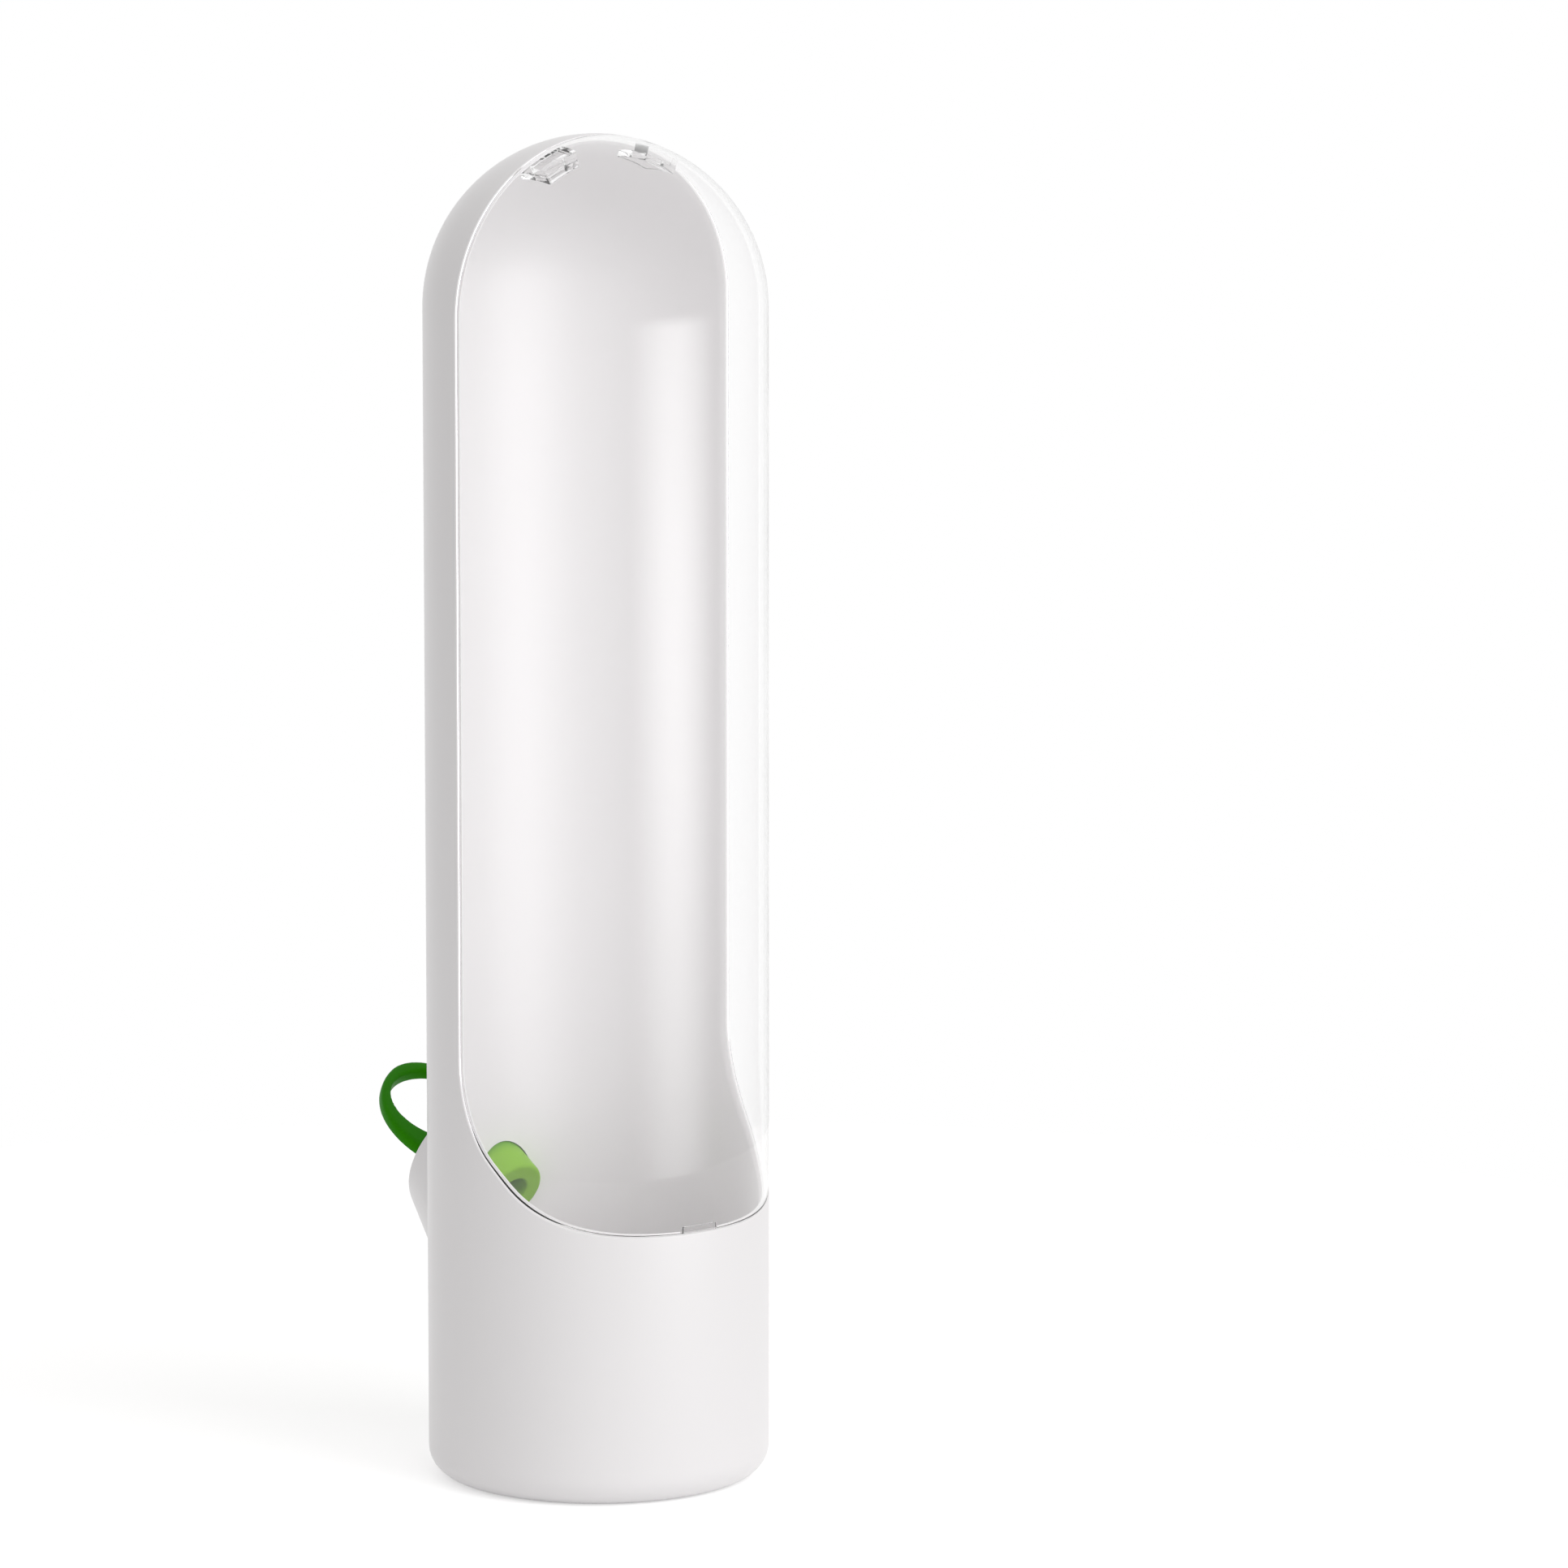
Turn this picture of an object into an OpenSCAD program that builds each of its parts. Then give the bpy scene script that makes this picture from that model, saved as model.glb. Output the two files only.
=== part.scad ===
// Herb keeper: a tall round keeper with a domed top. A white moulded shell forms the water well
// and the back, a clear window closes the front, and a soft plug seals the filling spout behind.
// Z is up, the underside is at z = 0, the axis is at x = y = 0 and the window faces -Y.

/* [Body] */
// Outside diameter of the body
body_d = 65; // [60:0.5:80]
// Height of the body from the underside to the top of the dome
body_h = 256.5; // [200:0.5:320]
// Thickness of the shell's wall
wall = 2; // [1.8:0.1:3]

/* [Base cap] */
// Height of the base cap's outside, up to its weld line
cap_h = 6.5; // [6:0.1:12]
// Radius of the rounded edge round the underside
base_edge_r = 5.3; // [3:0.1:6]
// Thickness of the base cap's floor
floor_t = 2; // [1.5:0.1:3]
// Height of the weld ring that stands up inside the shell
weld_ring_h = 4; // [2:0.5:8]
// Thickness of the weld ring
weld_ring_t = 1.4; // [1:0.1:2]
// Gap between the weld ring and the shell
weld_gap = 0.15; // [0.1:0.05:0.3]

/* [Window] */
// Thickness of the window's wall
window_wall = 1.75; // [1.6:0.05:2.5]
// Height of the window's lower edge at the front
sill_z = 52; // [40:0.5:80]
// Radius of the lower edge where it turns up from the front
sill_r = 30; // [20:0.5:30]
// Radius of the lower edge where it turns into the upright edge
side_r = 27; // [15:0.5:30]
// Rise of the slanted edge between those two curves, above the front edge
slant_rise = 20.5; // [15:0.5:30]
// Distance of the upright edges behind the middle of the body
edge_back = 0.4; // [0:0.1:2]
// Gap all along the seam between the window and the shell
seam_gap = 0.25; // [0.2:0.05:0.5]

/* [Lip] */
// Width of the shell's lip, which stands inside the window's edge
lip_w = 0.9; // [0.6:0.1:3]
// Thickness of the lip
lip_t = 0.85; // [0.7:0.05:1.1]
// Gap between the lip and the edge of the window that covers it
lip_gap = 0.3; // [0.2:0.05:0.4]
// Width of the notch in the lip at the front
notch_w = 8.5; // [6:0.5:16]
// Gap on each side of the window's key in that notch
key_gap = 0.3; // [0.2:0.05:0.6]

/* [Shoulder tabs] */
// Angle of the two locating tabs, measured up the dome from each side
tab_angle = 67; // [50:1:80]
// Width of a locating tab
tab_w = 8; // [5:0.5:12]
// Thickness of a locating tab
tab_t = 1.4; // [1:0.1:2]
// How far a tab reaches behind the window's edge
tab_reach = 3.5; // [2:0.5:6]
// How far a tab runs forward on the inside of the window
tab_root = 5.5; // [4:0.5:8]
// Gap between a tab and the inside of the shell
tab_gap = 0.3; // [0.2:0.05:0.6]

/* [Spout] */
// Height at which the spout's axis leaves the inside of the shell
spout_z = 51.5; // [48:0.5:120]
// Angle of the spout's axis above the horizontal
spout_tilt = 28; // [20:1:35]
// Length of the spout along its axis, from the inside of the shell
spout_len = 8.8; // [8:0.1:14]
// Outside radius of the spout at its mouth
spout_r = 16; // [15:0.1:18]
// Angle at which the spout widens towards the body
spout_flare = 15; // [5:1:20]
// Diameter of the round hole through the shell
bore_d = 13; // [11:0.1:16]
// Length of that hole's straight part beyond the inside of the shell
bore_len = 2.6; // [1:0.1:3]
// Thickness of the wall that stays between the well and the spout's recess
skin_t = 1.2; // [0.8:0.1:1.5]
// Depth of the recess in the mouth that takes the plug's head
head_recess = 2.4; // [1.5:0.1:4]
// Thickness of the spout's rim round that recess
rim_t = 1.8; // [1.5:0.1:3]
// Width of the small bevels on both edges of that rim
rim_bevel = 0.4; // [0.2:0.1:0.7]

/* [Plug] */
// Gap between the plug and the spout
plug_gap = 0.25; // [0.15:0.05:0.4]
// How far the plug's nose stands into the well
nose_in = 4; // [2:0.1:5]
// Width of the bevel round the end of the nose
nose_bevel = 0.7; // [0.3:0.1:1.5]
// Diameter of the moulded hole up the middle of the nose
nose_hole_d = 5.8; // [3:0.1:7]
// Depth of that hole
nose_hole_depth = 9; // [5:0.5:10]
// Height of the head's domed crown above the rim
crown_h = 0.8; // [0.4:0.1:2]

/* [Pull ring] */
// Thickness of the pull ring
ring_t = 2.6; // [2:0.1:3.5]
// Radius of its finger hole
finger_r = 10.8; // [9:0.1:12]
// Distance of the finger hole's centre above the rim
finger_rise = 13.1; // [12.5:0.1:16]
// Width of the ring at its widest
ring_w = 28.4; // [26:0.2:32]
// Distance of its widest place above the rim
ring_side_rise = 8.9; // [6:0.1:10]
// Radius of its long sides
ring_side_r = 19.4; // [18:0.1:24]
// Radius of its rounded top
ring_top_r = 8.8; // [6:0.1:10]

/* [Hidden] */
$fn = 96;
arc_steps = 12;                             // flats along each curve of the window's edge
arc_turn = 45;                              // angle that each of its curves turns through

cut = 0.5;                                  // how far a cutter passes the face that it cuts
body_r = body_d / 2;
bore_r = body_r - wall;                     // inside of the shell
dome_z = body_h - body_r;                   // centre of the dome
reach = body_d;                             // half width of the cutters that pass the whole body
lip_r = bore_r + lip_t;                     // outside of the lip
cover_r = lip_r + lip_gap;                  // inside of the window's edge, over the lip
glass_r = body_r - window_wall;             // inside of the rest of the window
cover_w = lip_w + seam_gap;                 // width of the thinned edge
weld_r = bore_r - weld_gap;
edge_y = -edge_back;                        // the upright edge, as a distance in front of the axis
sill_u = slant_rise - sill_r + sill_r * sqrt(2);
side_u = edge_y + side_r;
side_z = sill_z + slant_rise + side_r * sqrt(2) - side_u;
recess_r = spout_r - rim_t;                 // recess in the spout's mouth
recess_b = spout_len - head_recess;         // floor of that recess, along the spout's axis
skin_r = bore_r + skin_t;                   // back of the wall that stays behind the recess
seat_r = bore_d / 2;
flare = tan(spout_flare);
spout_root = (wall / 2 - (spout_r + spout_len * flare) * sin(spout_tilt))
    / (cos(spout_tilt) - flare * sin(spout_tilt));  // its lowest point is in the middle of the wall
nose_r = seat_r - plug_gap;
head_r = recess_r - plug_gap;
head_b = recess_b + plug_gap;               // underside of the plug's head
ring_root = (head_b + spout_len) / 2;       // the pull ring starts inside the head
side_x = ring_side_r - ring_w / 2;          // its sides are struck from beyond the middle
top_rise = sqrt(pow(ring_side_r - ring_top_r, 2) - side_x * side_x);

// Outline of a round body of radius r that ends in a dome of the same radius, for revolving.
module domed_outline(r, z0) {
    intersection() {
        union() {
            translate([0, z0]) square([r, dome_z - z0]);
            translate([0, dome_z]) circle(r);
        }
        translate([0, z0]) square([r, dome_z - z0 + r]);
    }
}

module domed_solid(r, z0) {
    rotate_extrude() domed_outline(r, z0);
}

module domed_shell(outer, inner, z0) {
    rotate_extrude() difference() {
        domed_outline(outer, z0);
        domed_outline(inner, z0 - cut);
    }
}

// Points round one curve of the window's edge, about centre c from the angle a0.
function arc_points(c, r, a0) = [
    for (i = [0:arc_steps]) let (a = a0 + arc_turn * i / arc_steps) c + r * [cos(a), sin(a)]
];

// The window's outline seen from the side, drawn inwards by inset: x is forward and y is up.
module window_outline(inset) {
    top = body_h + reach;
    polygon(concat(
        [[edge_y + inset, top]],
        arc_points([side_u, side_z], side_r - inset, 180),
        arc_points([sill_u, sill_z + sill_r], sill_r - inset, 180 + arc_turn),
        [[2 * reach, sill_z + inset], [2 * reach, top]]
    ));
}

// All the space in front of the window's edge, right across the body.
module window_space(inset) {
    translate([reach, 0, 0])
        rotate([90, 0, -90]) linear_extrude(2 * reach) window_outline(inset);
}

module on_spout_axis() {
    translate([0, bore_r, spout_z]) rotate([spout_tilt - 90, 0, 0]) children();
}

module spout_outside() {
    rotate_extrude() polygon([
        [0, spout_root],
        [spout_r + (spout_len - spout_root) * flare, spout_root],
        [spout_r + rim_bevel * flare, spout_len - rim_bevel],
        [spout_r - rim_bevel, spout_len],
        [0, spout_len]
    ]);
}

// The recess for the plug's head, and the way by which the head comes out past the wall.
module spout_recess() {
    rotate_extrude() polygon([
        [0, bore_len],
        [seat_r, bore_len],
        [recess_r - rim_t, recess_b],
        [recess_r, recess_b],
        [recess_r, spout_len - rim_bevel],
        [recess_r + rim_bevel, spout_len],
        [recess_r + rim_bevel, reach],
        [0, reach]
    ]);
}

module spout_bore() {
    on_spout_axis() translate([0, 0, -body_r / 2]) cylinder(h = body_r / 2 + recess_b, r = seat_r);
    difference() {
        on_spout_axis() spout_recess();
        domed_solid(skin_r, 0);
    }
}

module body_shell() {
    color("whitesmoke") difference() {
        union() {
            difference() {
                domed_solid(body_r, cap_h);
                window_space(0);
            }
            difference() {
                domed_solid(lip_r, cap_h);
                window_space(lip_w);
            }
            on_spout_axis() spout_outside();
        }
        domed_solid(bore_r, 0);
        translate([-notch_w / 2, -reach, sill_z]) cube([notch_w, reach, lip_w + cut]);
        spout_bore();
    }
}

module base_cap() {
    ring_top = cap_h + weld_ring_h;
    color("gainsboro") rotate_extrude() difference() {
        union() {
            translate([0, base_edge_r]) square([body_r, cap_h - base_edge_r]);
            square([body_r - base_edge_r, base_edge_r + cut]);
            intersection() {
                translate([body_r - base_edge_r, base_edge_r]) circle(base_edge_r);
                square([body_r, cap_h]);
            }
            square([weld_r, ring_top]);
        }
        translate([0, floor_t]) square([weld_r - weld_ring_t, ring_top]);
    }
}

module shoulder_tab() {
    tab_r = bore_r - tab_gap;
    translate([0, 0, dome_z]) rotate([0, -tab_angle, 0]) intersection() {
        rotate([90, 0, 0]) rotate_extrude() translate([0, -tab_reach])
            square([glass_r + cut, tab_reach + tab_root]);
        difference() {
            translate([0, -tab_root, -tab_w / 2])
                cube([reach, tab_root + tab_reach - edge_y, tab_w]);
            sphere(tab_r - tab_t);
        }
        union() {
            sphere(tab_r);
            translate([0, -tab_root, -tab_w / 2])
                cube([reach, tab_root - cover_w + edge_y, tab_w]);
        }
    }
}

module front_window() {
    color("lightcyan", 0.4) {
        difference() {
            intersection() {
                domed_shell(body_r, glass_r, cap_h);
                window_space(seam_gap);
            }
            difference() {
                domed_solid(cover_r, 0);
                window_space(cover_w);
                translate([key_gap - notch_w / 2, -reach, 0])
                    cube([notch_w - 2 * key_gap, reach, sill_z + 2 * lip_w]);
            }
        }
        shoulder_tab();
        mirror([1, 0, 0]) shoulder_tab();
    }
}

// The pull ring's flat outline: x is across and y is along the spout's axis.
module ring_outline() {
    side_b = spout_len + ring_side_rise;
    blend_b = side_b + top_rise * ring_side_r / (ring_side_r - ring_top_r);
    difference() {
        union() {
            intersection() {
                translate([-side_x, side_b]) circle(ring_side_r);
                translate([side_x, side_b]) circle(ring_side_r);
                translate([-reach, ring_root]) square([2 * reach, blend_b - ring_root]);
            }
            translate([0, side_b + top_rise]) circle(ring_top_r);
        }
        translate([0, spout_len + finger_rise]) circle(finger_r);
    }
}

// Half sections of the plug: x is the distance from the spout's axis and y is along it.
module nose_outline() {
    polygon([
        [0, -nose_in],
        [nose_r - nose_bevel, -nose_in],
        [nose_r, nose_bevel - nose_in],
        [nose_r, recess_b],
        [0, recess_b]
    ]);
}

module head_outline() {
    crown_r = (head_r * head_r + crown_h * crown_h) / (2 * crown_h);
    intersection() {
        polygon([
            [0, bore_len],
            [nose_r, bore_len],
            [head_r - rim_t, head_b],
            [head_r, head_b],
            [head_r, spout_len + crown_h],
            [0, spout_len + crown_h + cut]
        ]);
        translate([0, spout_len + crown_h - crown_r]) circle(crown_r);
    }
}

module fill_plug() {
    color("forestgreen") difference() {
        union() {
            on_spout_axis() rotate_extrude() nose_outline();
            difference() {
                on_spout_axis() rotate_extrude() head_outline();
                domed_solid(skin_r + plug_gap, 0);
            }
            on_spout_axis() translate([0, ring_t / 2, 0]) rotate([90, 0, 0])
                linear_extrude(ring_t) ring_outline();
        }
        on_spout_axis() translate([0, 0, -nose_in - cut])
            cylinder(h = nose_hole_depth + cut, r = nose_hole_d / 2);
    }
}

body_shell();
base_cap();
front_window();
fill_plug();
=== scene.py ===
"""The herb keeper's looks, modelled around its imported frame: a white moulded shell and base,
a clear window and a green silicone plug, on a pale floor in soft studio light."""

import math

import bmesh
import bpy
from bpy.props import FloatProperty, FloatVectorProperty, PointerProperty
from mathutils import Matrix, Vector


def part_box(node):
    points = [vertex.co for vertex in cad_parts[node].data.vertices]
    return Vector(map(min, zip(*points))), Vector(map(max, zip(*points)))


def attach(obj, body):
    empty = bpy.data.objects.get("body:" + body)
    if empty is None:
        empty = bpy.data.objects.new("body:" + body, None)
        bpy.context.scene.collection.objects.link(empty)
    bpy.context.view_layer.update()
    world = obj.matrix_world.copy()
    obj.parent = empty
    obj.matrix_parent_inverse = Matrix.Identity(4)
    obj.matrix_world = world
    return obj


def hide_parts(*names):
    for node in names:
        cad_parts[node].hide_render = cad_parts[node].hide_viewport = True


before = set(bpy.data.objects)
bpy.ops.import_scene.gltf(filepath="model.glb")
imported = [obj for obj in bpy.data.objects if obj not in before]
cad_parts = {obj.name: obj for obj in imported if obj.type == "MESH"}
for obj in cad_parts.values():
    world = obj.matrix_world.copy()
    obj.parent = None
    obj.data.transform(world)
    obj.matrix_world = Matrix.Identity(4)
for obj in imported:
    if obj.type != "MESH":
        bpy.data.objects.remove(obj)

bl_info = {
    "name": "Herb Keeper",
    "version": (1, 0, 0),
    "blender": (4, 5, 0),
    "location": "View3D > Sidebar > Herb Keeper",
    "description": "Models a herb keeper's shell, base, window and plug around its frame",
    "category": "Add Mesh",
}

MM = 0.001
SHELL_LOW, SHELL_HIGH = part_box("body_shell")
WINDOW_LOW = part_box("front_window")[0]
CAP_LOW, CAP_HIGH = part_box("base_cap")

BODY_R = SHELL_HIGH.x
TOP_Z = SHELL_HIGH.z
DOME_Z = TOP_Z - BODY_R                 # centre of the dome
CAP_Z = SHELL_LOW.z                     # weld line between the shell and the base
FINE_STEPS = 60                         # points that the window's edge is first drawn with
CURVE_STEPS = 44                        # columns along the curved part of the window's edge
BACK_STEPS = 32                         # columns from the window's edge to the middle of the back
UPRIGHT_STEPS = 28                      # rows up a straight side
DOME_STEPS = 64                         # rows over the dome
TUB_STEPS = 16                          # rows up the tub
SPIN_STEPS = 96                         # steps of a spun piece
ROUND_STEPS = 128                       # steps of the widest spun pieces
LIP_STEPS = 6                           # steps over the taper behind the lip


# ---------------------------------------------------------------- sizes and colours

def linear(hex_colour):
    """Linear RGBA of an sRGB hex colour, as shaders take it."""
    channels = [int(hex_colour[i:i + 2], 16) / 255 for i in (1, 3, 5)]
    return [c / 12.92 if c <= 0.04045 else ((c + 0.055) / 1.055) ** 2.4 for c in channels] + [1]


def length(name, description, default):
    return FloatProperty(name=name, description=description, default=default, min=0,
                         unit="LENGTH", precision=5)


def colour(name, description, hex_colour):
    return FloatVectorProperty(name=name, description=description, subtype="COLOR", size=4,
                               min=0, max=1, default=linear(hex_colour))


class KeeperSizes(bpy.types.PropertyGroup):
    wall: length("Wall", "Thickness of the white shell", 2 * MM)
    window_wall: length("Window wall", "Thickness of the clear window", 0.85 * MM)
    key_wall: length("Key thickness", "Thickness of the window's key", 1.5 * MM)
    lip_width: length("Lip width", "Width of the shell's lip behind the window's edge", 0.35 * MM)
    lip_wall: length("Lip thickness", "Thickness of that lip", 0.85 * MM)
    lip_tip: length("Lip tip", "How much thinner the lip is at its tip", 0.2 * MM)
    seam: length("Seam", "Gap between the window's edge and the shell", 0.15 * MM)
    edge_round: length("Edge rounding", "Radius of the moulded outer edges", 0.3 * MM)
    window_round: length("Window rounding", "Radius of the window's outer edge", 0.15 * MM)
    lip_round: length("Lip rounding", "Radius of the lip's edges", 0.1 * MM)
    lip_taper: length("Lip taper", "Length over which the wall thins towards the lip", 1.4 * MM)
    base_round: length("Base rounding", "Radius of the edge round the underside", 5.3 * MM)
    notch: length("Notch width", "Width of the notch in the lip at the front", 8.5 * MM)
    ring_wall: length("Ring thickness", "Thickness of the plug's pull ring", 2.6 * MM)
    grain: length("Mould grain", "Spacing of the fine grain on moulded plastic", 0.35 * MM)


class KeeperColours(bpy.types.PropertyGroup):
    white: colour("White plastic", "Colour of the shell and the base", "#f9f7f8")
    green: colour("Silicone", "Colour of the plug where it is thick", "#2f8c00")
    # Painted glow: the nose's paler green stands in for light from the well shining through it
    nose_painted_glow: colour("Thin silicone", "Colour of the plug's thin nose", "#8fc53c")
    floor: colour("Floor", "Colour of the floor", "#f4f4f4")


# The window's edge, seen from the side: u is forward and z is up, both from the body's axis.
EDGE_U = -0.4 * MM                      # the upright edges lie just behind the middle
FRAME_SEAM = 0.25 * MM                  # gap round the window's edge in the frame
SILL_Z = WINDOW_LOW.z - FRAME_SEAM
SILL_R = 30 * MM
SIDE_R = 27 * MM
SLANT_RISE = 20.5 * MM
SILL_U = SLANT_RISE - SILL_R + SILL_R * math.sqrt(2)
SIDE_U = EDGE_U + SIDE_R
SIDE_Z = SILL_Z + SLANT_RISE + SIDE_R * math.sqrt(2) - SIDE_U

# The spout's axis starts on the inside of the shell and climbs backwards.
SPOUT_TILT = math.radians(28)
SPOUT_AXIS = Vector((0, math.cos(SPOUT_TILT), math.sin(SPOUT_TILT)))
SPOUT_START = Vector((0, BODY_R - 2 * MM, 51.5 * MM))
SPOUT_LEN = 8.8 * MM
RECESS_B = SPOUT_LEN - 2.4 * MM         # floor of the recess for the plug's head
BORE_LEN = 2.6 * MM
SEAT_R = 6.5 * MM
RECESS_R = 14.2 * MM
RIM = 1.8 * MM
SKIN = 1.2 * MM                         # wall that stays between the well and that recess
PLUG_GAP = 0.25 * MM
HEAD_GAP = 0.1 * MM                     # between the plug's head and that wall


def sizes():
    return bpy.context.scene.keeper_sizes


def colours():
    return bpy.context.scene.keeper_colours


# ---------------------------------------------------------------- modelling helpers

def deselect():
    bpy.ops.object.select_all(action="DESELECT")


def activate(piece):
    deselect()
    piece.select_set(True)
    bpy.context.view_layer.objects.active = piece


def in_edit_mode(piece, *steps):
    """Runs edit-mode operators on the whole of a piece."""
    activate(piece)
    bpy.ops.object.mode_set(mode="EDIT")
    bpy.ops.mesh.select_all(action="SELECT")
    for step in steps:
        step()
    bpy.ops.object.mode_set(mode="OBJECT")


def close_up(piece, gap=0.002 * MM):
    """Merges points that coincide, and turns every face outwards."""
    in_edit_mode(
        piece,
        lambda: bpy.ops.mesh.remove_doubles(threshold=gap),
        lambda: bpy.ops.mesh.dissolve_degenerate(threshold=gap),
        lambda: bpy.ops.mesh.select_all(action="SELECT"),
        lambda: bpy.ops.mesh.normals_make_consistent(inside=False),
    )


def join(name, pieces):
    deselect()
    for piece in pieces:
        piece.select_set(True)
    bpy.context.view_layer.objects.active = pieces[0]
    bpy.ops.object.join()
    joined = bpy.context.view_layer.objects.active
    joined.name = joined.data.name = name
    return joined


def formed_grid(name, columns, rows, place):
    """A grid whose point in column i and row j is moved to place(i, j)."""
    deselect()
    bpy.ops.mesh.primitive_grid_add(x_subdivisions=columns - 1, y_subdivisions=rows - 1, size=1)
    grid = bpy.context.active_object
    grid.name = grid.data.name = name
    for index, vertex in enumerate(grid.data.vertices):
        vertex.co = place(index % columns, index // columns)
    grid.matrix_world = Matrix.Identity(4)
    return grid


def spun(name, outline, steps=SPIN_STEPS):
    """Spins an outline of (radius, height) points, from the Z axis back to it, into a solid."""
    deselect()
    bpy.ops.mesh.primitive_plane_add(size=1)
    piece = bpy.context.active_object
    piece.name = piece.data.name = name
    shape = bmesh.new()
    points = [shape.verts.new((r, 0, z)) for r, z in outline]
    for a, b in zip(points, points[1:]):
        shape.edges.new((a, b))
    shape.to_mesh(piece.data)
    shape.free()
    in_edit_mode(piece, lambda: bpy.ops.mesh.spin(
        steps=steps, angle=2 * math.pi, center=(0, 0, 0), axis=(0, 0, 1)))
    close_up(piece)
    return piece


def rounded(corners, radius, steps=4):
    """An outline with rounded corners, each given as (r, z) or as (r, z, its own radius)."""
    outline = []
    count = len(corners)
    for i, corner in enumerate(corners):
        here = Vector(corner[:2])
        bend = corner[2] if len(corner) > 2 else radius
        if bend == 0 or i in (0, count - 1):
            outline.append(tuple(here))
            continue
        back = (Vector(corners[i - 1][:2]) - here).normalized()
        ahead = (Vector(corners[i + 1][:2]) - here).normalized()
        half = back.angle(ahead) / 2
        reach = bend / math.tan(half)
        centre = here + (back + ahead).normalized() * bend / math.sin(half)
        start = here + back * reach - centre
        turn = (here + ahead * reach - centre)
        sweep = start.angle_signed(turn)
        for step in range(steps + 1):
            outline.append(tuple(centre + rotated(start, -sweep * step / steps)))
    return outline


def rotated(v, angle):
    c, s = math.cos(angle), math.sin(angle)
    return Vector((v.x * c - v.y * s, v.x * s + v.y * c))


def modify(piece, kind, **settings):
    activate(piece)
    modifier = piece.modifiers.new(kind.title(), kind)
    for key, value in settings.items():
        setattr(modifier, key, value)
    bpy.ops.object.modifier_apply(modifier=modifier.name)


def combine(piece, tool, operation):
    """Adds a tool piece to a piece or cuts it away, and removes the tool. The solver works more
    surely on millimetres as whole units than on thousandths of a metre."""
    for item in (piece, tool):
        item.data.transform(Matrix.Scale(1 / MM, 4))
    modify(piece, "BOOLEAN", operation=operation, object=tool, solver="EXACT")
    bpy.data.objects.remove(tool)
    piece.data.transform(Matrix.Scale(MM, 4))


def lay_on_spout(piece):
    """Turns a piece that was made upright at the origin onto the spout's axis."""
    turn = Vector((0, 0, 1)).rotation_difference(SPOUT_AXIS).to_matrix().to_4x4()
    piece.data.transform(Matrix.Translation(SPOUT_START) @ turn)


def well(radius):
    """A round tool as wide as the well or a little wider, from the base to the dome."""
    return spun("well", [(0, 0), (radius, 0), (radius, DOME_Z), (0, DOME_Z)],
                ROUND_STEPS)


def smooth(piece, degrees=35):
    """Shades a piece smooth. The wide faces keep their own normals, so a small rounded edge
    doesn't bend the light far into the face next to it."""
    activate(piece)
    bpy.ops.object.shade_smooth_by_angle(angle=math.radians(degrees))
    mostly_by_area = 90
    modify(piece, "WEIGHTED_NORMAL", keep_sharp=True, weight=mostly_by_area)


def settle(piece, body, node, material):
    """Finishes a piece: its material and body, and the frame's node that it stands for."""
    piece.data.materials.clear()
    piece.data.materials.append(material)
    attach(piece, body)
    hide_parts(node)


# ---------------------------------------------------------------- the window's edge

def edge_curve(inset, radius):
    """The curved part of the window's edge on a tube of that radius, drawn inwards by inset:
    (angle from the front, height) from the foot of the upright edge round to the front."""
    centres = ((SIDE_U, SIDE_Z, SIDE_R - inset, 180),
               (SILL_U, SILL_Z + SILL_R, SILL_R - inset, 225))
    drawn = []
    for u, z, bend, start in centres:
        for i in range(FINE_STEPS + 1):
            a = math.radians(start + 45 * i / FINE_STEPS)
            drawn.append((u + bend * math.cos(a), z + bend * math.sin(a)))
    inside = [(u, z) for u, z in drawn if u < radius]
    curve = [(math.acos(u / radius), z) for u, z in inside] + [(0.0, SILL_Z + inset)]
    return evenly(curve, radius, CURVE_STEPS)


def evenly(curve, radius, steps):
    """The same curve in even steps of its length on the tube."""
    lengths = [0.0]
    for (a0, z0), (a1, z1) in zip(curve, curve[1:]):
        lengths.append(lengths[-1] + math.hypot(radius * (a1 - a0), z1 - z0))
    result, i = [], 0
    for step in range(steps + 1):
        wanted = lengths[-1] * step / steps
        while i < len(lengths) - 2 and lengths[i + 1] < wanted:
            i += 1
        share = (wanted - lengths[i]) / (lengths[i + 1] - lengths[i])
        share = min(max(share, 0), 1)
        (a0, z0), (a1, z1) = curve[i], curve[i + 1]
        result.append((a0 + (a1 - a0) * share, z0 + (z1 - z0) * share))
    return result


def edge_angle(inset, radius):
    return math.acos((EDGE_U + inset) / radius)


def over_the_top(angle, foot_z, radius):
    """Points up one side, over the dome and down the other, at an angle from the front."""
    across, along = radius * math.sin(angle), -radius * math.cos(angle)
    path = []
    for i in range(UPRIGHT_STEPS):
        path.append(Vector((across, along, foot_z + (DOME_Z - foot_z) * i / UPRIGHT_STEPS)))
    for i in range(DOME_STEPS + 1):
        turn = math.pi * i / DOME_STEPS
        path.append(Vector((across * math.cos(turn), along, DOME_Z + across * math.sin(turn))))
    for i in range(UPRIGHT_STEPS - 1, -1, -1):
        path.append(Vector((-across, along, foot_z + (DOME_Z - foot_z) * i / UPRIGHT_STEPS)))
    return path


def edge_loop(inset, radius):
    """The window's whole edge, from the front round by the right side and the dome to the left."""
    curve = edge_curve(inset, radius)
    right = [Vector((radius * math.sin(a), -radius * math.cos(a), z)) for a, z in reversed(curve)]
    left = [Vector((-p.x, p.y, p.z)) for p in reversed(right)]
    arch = over_the_top(edge_angle(inset, radius), SIDE_Z, radius)
    return right[:-1] + arch + left[1:]


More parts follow.
